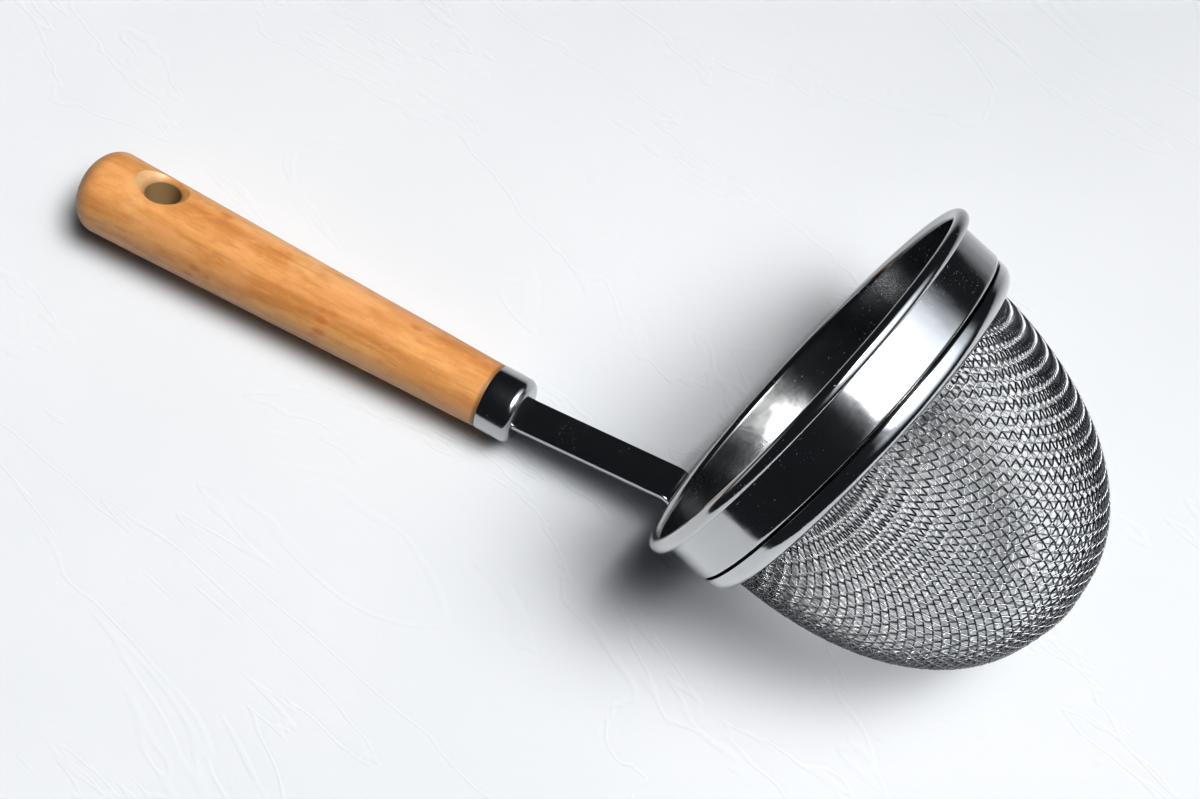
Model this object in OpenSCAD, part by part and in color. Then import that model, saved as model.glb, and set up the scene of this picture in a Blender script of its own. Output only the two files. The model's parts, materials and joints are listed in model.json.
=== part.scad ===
// Deep strainer with a wire cloth basket, a rolled steel rim, a flat strap and a turned wooden handle.
// It lies on its side as it rests on a table: the clamp ring, the side of the basket and the end of the
// handle touch the floor. +Z is up, the floor is z = 0, and +X runs level along the basket's axis,
// from the closed bottom towards the open mouth. Every size is in millimetres.

/* [Rim] */
// Outside diameter over the rolled lip
rim_d = 90; // [84:1:100]
// Thickness of the rolled lip, measured across the bead
lip_d = 3.0; // [2.6:0.1:3.4]
// Sheet thickness of the band and of the clamp ring
band_t = 0.6; // [0.5:0.05:0.7]
// Distance from the mouth to the groove under the band
groove_z = 11.2; // [10:0.2:13]
// Width of the groove between the band and the clamp ring
groove_w = 0.8; // [0.6:0.1:1.2]
// Distance from the mouth to the lower edge of the clamp ring
ring_z = 15.5; // [15:0.1:16.5]

/* [Basket] */
// Depth from the mouth to the bottom of the cloth
basket_depth = 68; // [60:1:80]
// Outside radius of the cloth just under the clamp ring
cloth_r = 38.4; // [37.6:0.1:38.6]
// Thickness of the shell that stands for the cloth, a little over two crossing wires
cloth_t = 0.9; // [0.8:0.05:1.1]
// Fullness of the side: larger is straighter
side_power = 2.44; // [2.2:0.02:2.7]
// Fullness of the bottom: larger is flatter
floor_power = 1.93; // [1.8:0.01:2.1]

/* [Strap] */
// Width of the strap
strap_w = 10.4; // [9:0.1:10.6]
// Thickness of the strap
strap_t = 1.2; // [1:0.05:1.4]
// Free length from the lip to the ferrule
strap_len = 36.3; // [32:0.1:45]
// Slope of the free strap against the plane of the mouth
strap_a = 66.2; // [62:0.1:70]
// Width of the tang inside the wood
tang_w = 6.4; // [5:0.1:8]
// Length of the tang behind the face of the ferrule
tang_len = 46; // [30:1:60]

/* [Handle] */
// Length from the face of the ferrule to the end of the wood
handle_len = 112.2; // [100:0.2:125]
// Slope of the handle against the plane of the mouth
handle_a = 70.5; // [67:0.1:74]
// Radius of the wood beside the ferrule
wood_r0 = 7.35; // [7:0.05:8]
// Radius of the wood at the start of its domed end
wood_r1 = 9.7; // [9:0.05:11]
// Depth of the domed end
dome_h = 6.5; // [5:0.1:8]
// Distance from the face of the ferrule to the hanging hole
hole_s = 93; // [85:0.5:96]
// Radius of the hanging hole
hole_r = 4.0; // [3:0.1:4.4]
// Radius of the flare of the hanging hole at the crest of the wood
flare_r = 6.4; // [5.5:0.1:7]
// Length of the ferrule
ferrule_len = 7.9; // [6.5:0.1:10]
// Wall thickness of the ferrule
ferrule_t = 0.5; // [0.4:0.05:0.6]
// Radius of the ferrule's round shoulder
shoulder_r = 2.0; // [1.5:0.1:2.2]

/* [Hidden] */
$fn = 96;

// ---- the strainer's own frame: z along the basket's axis, 0 at the mouth, x towards the strap ----

lip_r = lip_d / 2;
bead_c = [rim_d / 2 - lip_r, 0];            // centre of the lip's bead
band_ri = bead_c[0] - lip_r;                // inside of the band
band_ro = band_ri + band_t;                 // outside of the band
ring_ro = band_ro - 0.2;                    // outside of the clamp ring
ring_cr = 3.0;                              // round of the ring's lower edge
ring_c = [ring_ro - ring_cr, -ring_z + ring_cr];
cloth_cr = ring_cr - band_t - cloth_t / 2;  // centre of the cloth tucked behind the ring
skirt_cr = cloth_cr - cloth_t / 2 - band_t / 2;

function arc(c, r, a0, a1, n, first = 0) =
    [for (i = [first:n]) c + r * [cos(a0 + (a1 - a0) * i / n), sin(a0 + (a1 - a0) * i / n)]];
function unit2(v) = v / norm(v);
function tangent(p, i) = unit2(p[min(i + 1, len(p) - 1)] - p[max(i - 1, 0)]);
function side_pts(p, h, last) =
    [for (i = [0:len(p) - 1])
        let (t = (i == len(p) - 1 && last != undef) ? last : tangent(p, i)) p[i] + h * [-t[1], t[0]]];
function flip(p) = [for (i = [len(p) - 1:-1:0]) p[i]];

// A sheet of thickness t along a centre line, as an outline
function sheet(p, t, last = undef) = concat(side_pts(p, t / 2, last), flip(side_pts(p, -t / 2, last)));

// Side of the basket: the centre line of the cloth, from under the ring to the bottom
mid_r = cloth_r - cloth_t / 2;
mid_z0 = -ring_z;
mid_h = basket_depth - ring_z - cloth_t / 2;
function cloth_pt(a) = [mid_r * pow(max(cos(a), 0), 2 / side_power), mid_z0 - mid_h * pow(sin(a), 2 / floor_power)];
cloth_n = 30;
cloth_side = [for (i = [0:cloth_n]) i == cloth_n ? [0, mid_z0 - mid_h] : cloth_pt(90 * i / cloth_n)];

// Cloth behind the ring: it follows the ring's round, then turns down into the side of the basket
tuck_a = -62;
tuck_end = ring_c + cloth_cr * [cos(tuck_a), sin(tuck_a)];
cloth_path = concat(
    arc(ring_c, cloth_cr, 5, tuck_a, 8),
    [[(tuck_end[0] * 0.45 + mid_r * 0.55), (tuck_end[1] * 0.62 + mid_z0 * 0.38)]],
    cloth_side);

// Outside of the cloth, for the resting pose
cloth_out = side_pts(cloth_side, cloth_t / 2, [-1, 0]);

// ---- the strap's centre line ----

sd = [cos(strap_a), sin(strap_a)];          // along the free strap, away from the rim
so = [sin(strap_a), -cos(strap_a)];         // square to it, away from the axis
wrap_r = lip_r + strap_t / 2 + 0.05;        // the strap passes just outside the lip
line_off = 0.57;                            // how far outside the bead's centre the strap aims
bend_r = 5;                                 // bend above the lip
leg_r = 3;                                  // bend under the lip
pad_x = band_ro + strap_t / 2;              // leg welded on the band
pad_z = -groove_z + 0.4;

bend_u = sqrt(pow(bend_r + wrap_r, 2) - pow(bend_r + line_off, 2));
bend_c = bead_c + (line_off + bend_r) * so + bend_u * sd;
wrap_a0 = atan2(bend_c[1] - bead_c[1], bend_c[0] - bead_c[0]);
leg_cx = pad_x + leg_r;
leg_cz = -sqrt(pow(leg_r + wrap_r, 2) - pow(leg_cx - bead_c[0], 2));
wrap_a1 = atan2(leg_cz, leg_cx - bead_c[0]);
foot = bead_c + line_off * so;              // the strap's line beside the bead
crook = foot + (3.0 + strap_len - 1) * sd;  // slight crook just before the ferrule
hd = [cos(handle_a), sin(handle_a)];        // along the handle
face = crook + hd;                          // centre of the ferrule's face

strap_path = concat(
    [[pad_x, pad_z]],
    arc([leg_cx, leg_cz], leg_r, 180, 180 + wrap_a1, 8),
    arc(bead_c, wrap_r, wrap_a1, wrap_a0, 10, 1),
    arc(bend_c, bend_r, 180 + wrap_a0, 180 - (90 - strap_a), 10, 1),
    [crook, face + 3 * hd]);

// ---- resting pose ----

// Tilt of the axis at which the clamp ring and the side of the basket reach the floor together
function ring_reach(t) = ring_c[0] * cos(t) - ring_c[1] * sin(t) + ring_cr;
function side_reach(t) = max([for (p = cloth_out) p[0] * cos(t) - p[1] * sin(t)]);
function solve_tilt(lo, hi, n) = n == 0 ? (lo + hi) / 2 :
    let (m = (lo + hi) / 2) side_reach(m) > ring_reach(m) ? solve_tilt(lo, m, n - 1) : solve_tilt(m, hi, n - 1);
tilt = solve_tilt(4, 30, 26);
lie_h = ring_reach(tilt);

// Roll about the axis at which the end of the handle reaches the floor too
dome_c = face + (handle_len - dome_h) * hd;
function down(r) = [cos(tilt) * cos(r), -cos(tilt) * sin(r), -sin(tilt)];
function along(v) = v[0] * hd[0] + v[2] * hd[1];
function end_reach(v) = dome_c[0] * v[0] + dome_c[1] * v[2]
    + sqrt(pow(wood_r1, 2) * (1 - pow(along(v), 2)) + pow(dome_h, 2) * pow(along(v), 2));
function solve_roll(lo, hi, n) = n == 0 ? (lo + hi) / 2 :
    let (m = (lo + hi) / 2) end_reach(down(m)) > lie_h ? solve_roll(m, hi, n - 1) : solve_roll(lo, m, n - 1);
roll = solve_roll(10, 85, 26);

// The lying strainer centred over the origin
ax_x = [sin(tilt) * cos(roll), -sin(tilt) * sin(roll), cos(tilt)];
ax_y = [sin(roll), cos(roll), 0];
x_max = end_reach(ax_x);
x_min = min([for (p = cloth_out) p[1] * cos(tilt) - p[0] * sin(tilt)]);
y_max = end_reach(ax_y);
y_min = -rim_d / 2;

module place() {
    translate([-(x_max + x_min) / 2, -(y_max + y_min) / 2, lie_h])
        rotate([0, 90 - tilt, 0]) rotate([0, 0, roll]) children();
}

module on_handle() {
    translate([face[0], 0, face[1]]) rotate([0, 90 - handle_a, 0]) children();
}

// ---- the pieces ----

// The opening that the strap fills inside the wood, and at its full width in the ferrule
module tang_room() {
    translate([-strap_t / 2, -strap_w / 2, -1]) cube([strap_t, strap_w, 4]);
    translate([-strap_t / 2, -tang_w / 2, -1]) cube([strap_t, tang_w, tang_len + 1]);
}

// Turned wooden grip: a spigot inside the ferrule, a straight taper and a domed end
module handle_grip() {
    spig_r = wood_r0 + 0.1 - ferrule_t;
    profile = concat(
        [[0, ferrule_t], [spig_r - shoulder_r + ferrule_t, ferrule_t]],
        arc([spig_r - shoulder_r + ferrule_t, shoulder_r], shoulder_r - ferrule_t, -90, 0, 5, 1),
        [[spig_r, ferrule_len], [wood_r0 - 0.25, ferrule_len], [wood_r0, ferrule_len + 0.25]],
        [for (i = [0:15]) [wood_r1 * cos(90 * i / 16), handle_len - dome_h + dome_h * sin(90 * i / 16)]],
        [[0, handle_len]]);
    color([0.85, 0.58, 0.34]) place() on_handle() difference() {
        rotate_extrude() polygon(profile);
        tang_room();
        // hanging hole, square to the flat of the strap, flared at both mouths
        translate([0, 0, hole_s]) rotate([0, 90, 0]) {
            translate([0, 0, -15]) cylinder(r = hole_r, h = 30);
            for (s = [-1, 1]) rotate([90 - s * 90, 0, 0])
                translate([0, 0, 7.1]) cylinder(r1 = hole_r, r2 = hole_r + 4 * (flare_r - hole_r) / 2.3, h = 4);
        }
    }
}

// Drawn steel cup over the front of the wood, with a slot for the strap
module ferrule() {
    r = wood_r0 + 0.1;
    outer = concat([[0, 0]], arc([r - shoulder_r, shoulder_r], shoulder_r, -90, 0, 8), [[r, ferrule_len]]);
    inner = concat([[r - ferrule_t, ferrule_len]],
        arc([r - shoulder_r, shoulder_r], shoulder_r - ferrule_t, 0, -90, 5), [[0, ferrule_t]]);
    color([0.78, 0.79, 0.8]) place() on_handle() difference() {
        rotate_extrude() polygon(concat(outer, inner));
        tang_room();
    }
}

// Flat steel strap: a leg on the band, a turn round the lip, the free length and the tang in the wood
module strap() {
    color([0.72, 0.73, 0.75]) place() difference() {
        union() {
            translate([0, strap_w / 2, 0]) rotate([90, 0, 0]) linear_extrude(height = strap_w)
                polygon(sheet(strap_path, strap_t));
            on_handle() translate([-strap_t / 2, -tang_w / 2, 2]) cube([strap_t, tang_w, tang_len - 2]);
        }
        // the leg lies on the round of the band
        translate([0, 0, -ring_z]) cylinder(r = band_ro, h = ring_z - lip_r, $fn = 96);
    }
}

// Rim: one sheet, from the edge curled under the lip, down the plain band, to the skirt that steps in
// behind the clamp ring
module rim_band() {
    wall_x = band_ri + band_t / 2;
    skirt_x = ring_c[0] + skirt_cr;
    step_z = -groove_z - 0.15;
    path = concat(
        arc(bead_c, lip_r - band_t / 2, -60, 180, 24),
        [[wall_x, -groove_z / 2]],
        arc([wall_x - 0.7, step_z + 0.7], 0.7, 0, -90, 5),
        arc([skirt_x + 0.6, step_z - 0.6], 0.6, 90, 180, 5),
        arc(ring_c, skirt_cr, 0, -50, 6));
    color([0.8, 0.81, 0.82]) place() rotate_extrude() polygon(sheet(path, band_t));
}

// Clamp ring that holds the edge of the cloth, its lower edge rolled in under it
module mesh_ring() {
    path = concat(
        [[ring_ro - band_t / 2, -groove_z - groove_w]],
        arc(ring_c, ring_cr - band_t / 2, 0, -84, 12));
    color([0.78, 0.79, 0.8]) place() rotate_extrude() polygon(sheet(path, band_t));
}

// Basket: the cloth as one thin shell, its edge tucked between the skirt and the ring
module mesh_basket() {
    color([0.62, 0.63, 0.64]) place() rotate_extrude() polygon(sheet(cloth_path, cloth_t, [-1, 0]));
}

handle_grip();
ferrule();
strap();
rim_band();
mesh_ring();
mesh_basket();
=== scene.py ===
import json
import math

import bpy
import bmesh
import numpy as np
from mathutils import Matrix, Vector


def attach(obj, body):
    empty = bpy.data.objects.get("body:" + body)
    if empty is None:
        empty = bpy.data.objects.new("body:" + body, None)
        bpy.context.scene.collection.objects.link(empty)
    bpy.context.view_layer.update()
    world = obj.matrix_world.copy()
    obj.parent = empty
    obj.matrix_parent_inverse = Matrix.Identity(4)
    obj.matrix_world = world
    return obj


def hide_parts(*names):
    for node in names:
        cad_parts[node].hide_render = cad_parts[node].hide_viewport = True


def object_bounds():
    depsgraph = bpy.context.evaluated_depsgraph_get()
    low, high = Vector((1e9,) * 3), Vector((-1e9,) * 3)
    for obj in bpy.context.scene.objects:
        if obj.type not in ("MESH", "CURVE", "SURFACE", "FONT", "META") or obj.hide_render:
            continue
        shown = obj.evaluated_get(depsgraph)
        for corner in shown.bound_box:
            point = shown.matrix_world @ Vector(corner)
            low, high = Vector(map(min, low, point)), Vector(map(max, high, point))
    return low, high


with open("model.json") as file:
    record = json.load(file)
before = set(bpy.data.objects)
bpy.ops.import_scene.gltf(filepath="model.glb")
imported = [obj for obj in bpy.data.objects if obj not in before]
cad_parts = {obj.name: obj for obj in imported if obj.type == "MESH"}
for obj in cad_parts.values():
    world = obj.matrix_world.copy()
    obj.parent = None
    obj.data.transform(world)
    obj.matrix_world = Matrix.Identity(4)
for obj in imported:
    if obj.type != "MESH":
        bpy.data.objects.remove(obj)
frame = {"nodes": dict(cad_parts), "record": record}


def plain(box):
    return [[float(v) for v in corner] for corner in box]


cad_box = plain(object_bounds())
nodes = frame["nodes"]
scene = bpy.context.scene
MM = 0.001

# ------------------------------------------------------------------ sizes, as in the part, in millimetres

LIP_R = 1.5
BEAD = (43.5, 0.0)
BAND_T = 0.6
BAND_RI, BAND_RO = 42.0, 42.6
GROOVE_Z, GROOVE_W = 10.5, 0.8
RING_RO, RING_CR = 42.4, 3.0
RING_C = (39.4, -12.5)
SKIRT_CR = 1.2
CLOTH_T, CLOTH_MID, CLOTH_Z0, CLOTH_H = 0.9, 37.95, -15.5, 52.05
SIDE_P, FLOOR_P = 2.44, 1.93
TUCK_R = 1.95
STRAP_W, STRAP_T, STRAP_A = 10.4, 1.2, 66.2
STRAP_LEN, LINE_OFF, WRAP_R, BEND_R, LEG_R = 36.3, 0.57, 2.15, 5.0, 3.0
TANG_W, TANG_LEN = 6.4, 46.0
WOOD_R0, WOOD_R1, HANDLE_LEN, DOME_H = 7.35, 9.7, 112.2, 6.5
HOLE_R, FLARE_R = 4.0, 6.4
FERRULE_LEN, FERRULE_T, SHOULDER_R = 7.9, 0.5, 2.0

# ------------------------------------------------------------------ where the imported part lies


def coords(name):
    me = nodes[name].data
    co = np.zeros(len(me.vertices) * 3)
    me.vertices.foreach_get("co", co)
    return co.reshape(-1, 3)


def turning_axis(name):
    """The axis that every normal of a turned node meets: (a point, a direction)."""
    me = nodes[name].data
    p = np.array([f.center for f in me.polygons])
    n = np.array([f.normal for f in me.polygons])
    w = np.sqrt(np.array([f.area for f in me.polygons]))
    mid = p.mean(0)
    q = (p - mid) / MM / 40
    rows = np.hstack([np.cross(q, n), n]) * w[:, None] / w.max()
    v = np.linalg.svd(rows, full_matrices=False)[2][-1]
    d, m = v[:3], v[3:]
    k = np.linalg.norm(d)
    d, m = d / k, m / k
    return mid + np.cross(d, m) * 40 * MM, d


axis_p, axis_d = turning_axis("rim_band")
mount = frame["record"]["mounts"][0]
hole_c = np.array(mount["pos_m"], float)
hole_n = np.array(mount["axis"], float)
hole_n /= np.linalg.norm(hole_n)
if (hole_c - axis_p) @ axis_d < 0:
    axis_d = -axis_d
if hole_n @ axis_d < 0:
    hole_n = -hole_n
mouth = ((coords("rim_band") - axis_p) @ axis_d).max() - LIP_R * MM
origin = axis_p + mouth * axis_d
x_dir = -(hole_n - (hole_n @ axis_d) * axis_d)
x_dir /= np.linalg.norm(x_dir)
y_dir = np.cross(axis_d, x_dir)
strainer_m = Matrix([list(r) + [o] for r, o in zip(np.column_stack([x_dir, y_dir, axis_d]), origin)] + [[0, 0, 0, 1]])

handle_d = np.cross(y_dir, -hole_n)
if handle_d @ axis_d < 0:
    handle_d = -handle_d
face_s = ((coords("ferrule") - hole_c) @ handle_d).min()
face_c = hole_c + face_s * handle_d
HOLE_S = -face_s / MM
HANDLE_A = math.degrees(math.asin(min(1.0, handle_d @ axis_d)))
hx_dir = -hole_n
handle_m = Matrix([list(r) + [o] for r, o in zip(np.column_stack([hx_dir, np.cross(handle_d, hx_dir), handle_d]), face_c)] + [[0, 0, 0, 1]])

# ------------------------------------------------------------------ camera, at the photograph's viewing angle

cam_right = np.array([-0.74785, -0.65938, -0.07711])
cam_up = np.array([0.62199, -0.73652, 0.26582])
cam_back = np.array([-0.23206, 0.15083, 0.96094])
cam_data = bpy.data.cameras.new("camera")
cam_data.lens = 70.353
cam_data.sensor_width = 36.0
cam_data.sensor_fit = "HORIZONTAL"
cam_data.clip_start = 0.01
cam_data.clip_end = 50.0
camera = bpy.data.objects.new("camera", cam_data)
scene.collection.objects.link(camera)
cam_pos = (-0.12398, 0.08743, 0.48811)
camera.matrix_world = Matrix([list(r) + [o] for r, o in zip(np.column_stack([cam_right, cam_up, cam_back]), cam_pos)] + [[0, 0, 0, 1]])
scene.camera = camera

flat_right = np.array([cam_right[0], cam_right[1], 0.0])
flat_right /= np.linalg.norm(flat_right)
flat_up = np.array([-flat_right[1], flat_right[0], 0.0])
if flat_up @ cam_up < 0:
    flat_up = -flat_up


def direction(az, el):
    """A direction by azimuth (0 to the picture's right, 90 to its top) and height above the floor, in degrees."""
    a, e = math.radians(az), math.radians(el)
    return flat_right * math.cos(a) * math.cos(e) + flat_up * math.sin(a) * math.cos(e) + np.array([0, 0, math.sin(e)])


# ------------------------------------------------------------------ small helpers for nodes


class Net:
    def __init__(self, tree):
        self.t = tree
        self.n = tree.nodes
        self.l = tree.links

    def new(self, kind, **inputs):
        node = self.n.new(kind)
        for k, v in inputs.items():
            setattr(node, k, v)
        return node

    def link(self, a, b):
        self.l.new(a, b)

    def math(self, op, a, b=None, c=None, clamp=False):
        node = self.new("ShaderNodeMath", operation=op, use_clamp=clamp)
        for i, v in enumerate((a, b, c)):
            if v is None:
                continue
            if isinstance(v, (int, float)):
                node.inputs[i].default_value = v
            else:
                self.link(v, node.inputs[i])
        return node.outputs[0]

    def noise(self, vec, scale=1.0, detail=2.0, rough=0.5, dist=0.0, w=None):
        node = self.new("ShaderNodeTexNoise")
        if w is not None:
            node.noise_dimensions = "4D"
            self.link(w, node.inputs["W"])
        self.link(vec, node.inputs["Vector"])
        node.inputs["Scale"].default_value = scale
        node.inputs["Detail"].default_value = detail
        node.inputs["Roughness"].default_value = rough
        node.inputs["Distortion"].default_value = dist
        return node.outputs["Fac"]

    def voronoi(self, vec, scale=1.0, feature="F1", out="Distance", randomness=1.0):
        node = self.new("ShaderNodeTexVoronoi", feature=feature)
        self.link(vec, node.inputs["Vector"])
        node.inputs["Scale"].default_value = scale
        node.inputs["Randomness"].default_value = randomness
        return node.outputs[out]

    def ramp(self, fac, stops, interp="LINEAR"):
        node = self.new("ShaderNodeValToRGB")
        r = node.color_ramp
        r.interpolation = interp
        while len(r.elements) > 1:
            r.elements.remove(r.elements[-1])
        for i, (pos, col) in enumerate(stops):
            e = r.elements[0] if i == 0 else r.elements.new(pos)
            e.position = pos
            if isinstance(col, (int, float)):
                col = (col, col, col)
            e.color = (*col, 1.0)
        self.link(fac, node.inputs["Fac"])
        return node.outputs["Color"]

    def smooth(self, fac, lo, hi, to_lo=0.0, to_hi=1.0):
        node = self.new("ShaderNodeMapRange", interpolation_type="SMOOTHSTEP")
        self.link(fac, node.inputs["Value"])
        for k, v in zip(("From Min", "From Max", "To Min", "To Max"), (lo, hi, to_lo, to_hi)):
            node.inputs[k].default_value = v
        return node.outputs["Result"]

    def mix(self, fac, a, b, blend="MIX"):
        node = self.new("ShaderNodeMix", data_type="RGBA", blend_type=blend)
        for sock, v in ((node.inputs[0], fac), (node.inputs[6], a), (node.inputs[7], b)):
            if isinstance(v, (int, float)):
                sock.default_value = v
            elif isinstance(v, tuple):
                sock.default_value = (*v, 1.0)
            else:
                self.link(v, sock)
        return node.outputs[2]

    def combine(self, x, y, z):
        node = self.new("ShaderNodeCombineXYZ")
        for i, v in enumerate((x, y, z)):
            if isinstance(v, (int, float)):
                node.inputs[i].default_value = v
            else:
                self.link(v, node.inputs[i])
        return node.outputs[0]

    def canon(self):
        """The piece's own coordinates in metres: vector, x, y, z."""
        a = self.new("ShaderNodeAttribute", attribute_name="canon")
        s = self.new("ShaderNodeSeparateXYZ")
        self.link(a.outputs["Vector"], s.inputs[0])
        return a.outputs["Vector"], s.outputs[0], s.outputs[1], s.outputs[2]

    def scaled(self, vec, sx, sy, sz):
        node = self.new("ShaderNodeMapping")
        node.inputs["Scale"].default_value = (sx, sy, sz)
        self.link(vec, node.inputs["Vector"])
        return node.outputs[0]

    def bump(self, height, distance, strength=1.0, normal=None):
        node = self.new("ShaderNodeBump")
        node.inputs["Strength"].default_value = strength
        node.inputs["Distance"].default_value = distance
        self.link(height, node.inputs["Height"])
        if normal is not None:
            self.link(normal, node.inputs["Normal"])
        return node.outputs[0]


def material(name):
    m = bpy.data.materials.new(name)
    m.use_nodes = True
    net = Net(m.node_tree)
    return m, net, m.node_tree.nodes["Principled BSDF"]


# ------------------------------------------------------------------ materials


def steel(name, base, rough, along="turn", scratch=1.0, wave=1.0, specks=1.0, inside=None):
    """Polished sheet steel. along: "turn" lays the polishing lines round the axis, "z" along the piece.
    inside: the radius within which a turned piece is rougher, where a polishing wheel hardly reaches, and its colour
    is painted darker: painted shade on the inner wall."""
    m, n, b = material(name)
    vec, x, y, z = n.canon()
    if along == "turn":
        r = n.math("SQRT", n.math("ADD", n.math("MULTIPLY", x, x), n.math("MULTIPLY", y, y)))
        fine_v = n.combine(n.math("MULTIPLY", x, 90), n.math("MULTIPLY", y, 90), n.math("MULTIPLY", r, 5200))
        lines = n.noise(fine_v, 1.0, 3.0, 0.62, 0.0, w=n.math("MULTIPLY", z, 5200))
        fine_w = n.combine(n.math("MULTIPLY", x, 260), n.math("MULTIPLY", y, 260), n.math("MULTIPLY", r, 14000))
        hair = n.noise(fine_w, 1.0, 1.0, 0.5, 0.0, w=n.math("MULTIPLY", z, 14000))
    else:
        lines = n.noise(n.scaled(vec, 4200, 4200, 110), 1.0, 3.0, 0.62)
        hair = n.noise(n.scaled(vec, 11000, 11000, 420), 1.0, 1.0, 0.5)
    blotch = n.noise(vec, 130, 3.0, 0.55)
    cloud = n.noise(vec, 55, 2.0, 0.5, 0.4)
    # tiny pits and dust, scattered
    cell = n.voronoi(vec, 520)
    keep = n.smooth(n.noise(vec, 210, 2.0, 0.6), 0.60, 0.70)
    pit = n.math("MULTIPLY", n.smooth(cell, 0.16, 0.06), keep)
    # short random scratches
    sv = n.new("ShaderNodeMapping")
    sv.inputs["Rotation"].default_value = (0.4, 0.9, 0.6)
    sv.inputs["Scale"].default_value = (260, 3600, 3600)
    n.link(vec, sv.inputs["Vector"])
    nick = n.math("MULTIPLY", n.smooth(n.noise(sv.outputs[0], 1.0, 1.0, 0.5), 0.70, 0.78), n.smooth(n.noise(vec, 90, 1.0), 0.5, 0.62))
    col = n.mix(n.smooth(cloud, 0.3, 0.7), tuple(c * 0.93 for c in base), base)
    col = n.mix(n.math("MULTIPLY", pit, 0.35 * specks), col, (0.30, 0.28, 0.26))
    if inside:
        # painted shade: inside the band the colour turns to a darker, mottled grey
        inner_shade = n.mix(n.smooth(cloud, 0.35, 0.65), (0.26, 0.265, 0.27), (0.42, 0.425, 0.43))
        col = n.mix(n.smooth(r, inside + 0.0001, inside - 0.0001), col, inner_shade)
    n.link(col, b.inputs["Base Color"])
    rr = n.math("ADD", rough, n.math("MULTIPLY", n.math("SUBTRACT", lines, 0.5), 0.10 * scratch))
    rr = n.math("ADD", rr, n.math("MULTIPLY", n.math("SUBTRACT", blotch, 0.5), 0.10))
    rr = n.math("ADD", rr, n.math("MULTIPLY", n.math("ADD", pit, nick), 0.22 * specks), clamp=True)
    if inside:
        rr = n.math("ADD", rr, n.smooth(r, inside + 0.0001, inside - 0.0001, 0.0, 0.06))
    n.link(n.math("MAXIMUM", rr, 0.035), b.inputs["Roughness"])
    h = n.math("ADD", n.math("MULTIPLY", lines, 0.7), n.math("MULTIPLY", hair, 0.3))
    nn = n.bump(h, 0.0000022 * scratch)
    nn = n.bump(n.math("ADD", pit, nick), 0.000012 * specks, 1.0, nn)
    nn = n.bump(n.noise(vec, 110, 3.0, 0.42), 0.00006 * wave, 1.0, nn)
    n.link(nn, b.inputs["Normal"])
    b.inputs["Metallic"].default_value = 1.0
    return m


def wire_steel(name, base, far_sheen, down):
    """Drawn wire. Its third colour is a painted highlight: paler and duller, on the side towards down, standing for
    the glow of the blurred far wall; towards the ring it is held back, painted shade.
    """
    m, n, b = material(name)
    vec, x, y, z = n.canon()
    low = n.math("ADD", n.math("MULTIPLY", x, down[0]), n.math("MULTIPLY", y, down[1]))
    low = n.math("ADD", low, n.math("MULTIPLY", n.math("SUBTRACT", n.noise(vec, 45, 2.0, 0.5), 0.5), 0.01))
    # painted shade: towards the ring the pale colour is held to a fifth
    low = n.math("MULTIPLY", n.smooth(low, 0.002, 0.018), n.smooth(z, -0.018, -0.040, 0.2, 1.0))
    grime = n.noise(vec, 180, 3.0, 0.6)
    fine = n.noise(vec, 2600, 2.0, 0.6)
    tone = n.noise(vec, 38, 2.0, 0.5)
    col = n.mix(n.smooth(tone, 0.3, 0.7), tuple(c * 0.9 for c in base), base)
    col = n.mix(n.smooth(grime, 0.56, 0.74, 0.0, 0.35), col, (0.33, 0.32, 0.31))
    # painted highlight: the far, lower side takes the pale colour
    n.link(n.mix(low, col, far_sheen), b.inputs["Base Color"])
    rr = n.math("ADD", n.math("MULTIPLY", low, 0.34), n.math("ADD", 0.06, n.math("MULTIPLY", grime, 0.08)))
    rr = n.math("ADD", rr, n.math("MULTIPLY", fine, 0.04))
    n.link(rr, b.inputs["Roughness"])
    n.link(n.bump(fine, 0.000008), b.inputs["Normal"])
    b.inputs["Metallic"].default_value = 1.0
    return m


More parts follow.
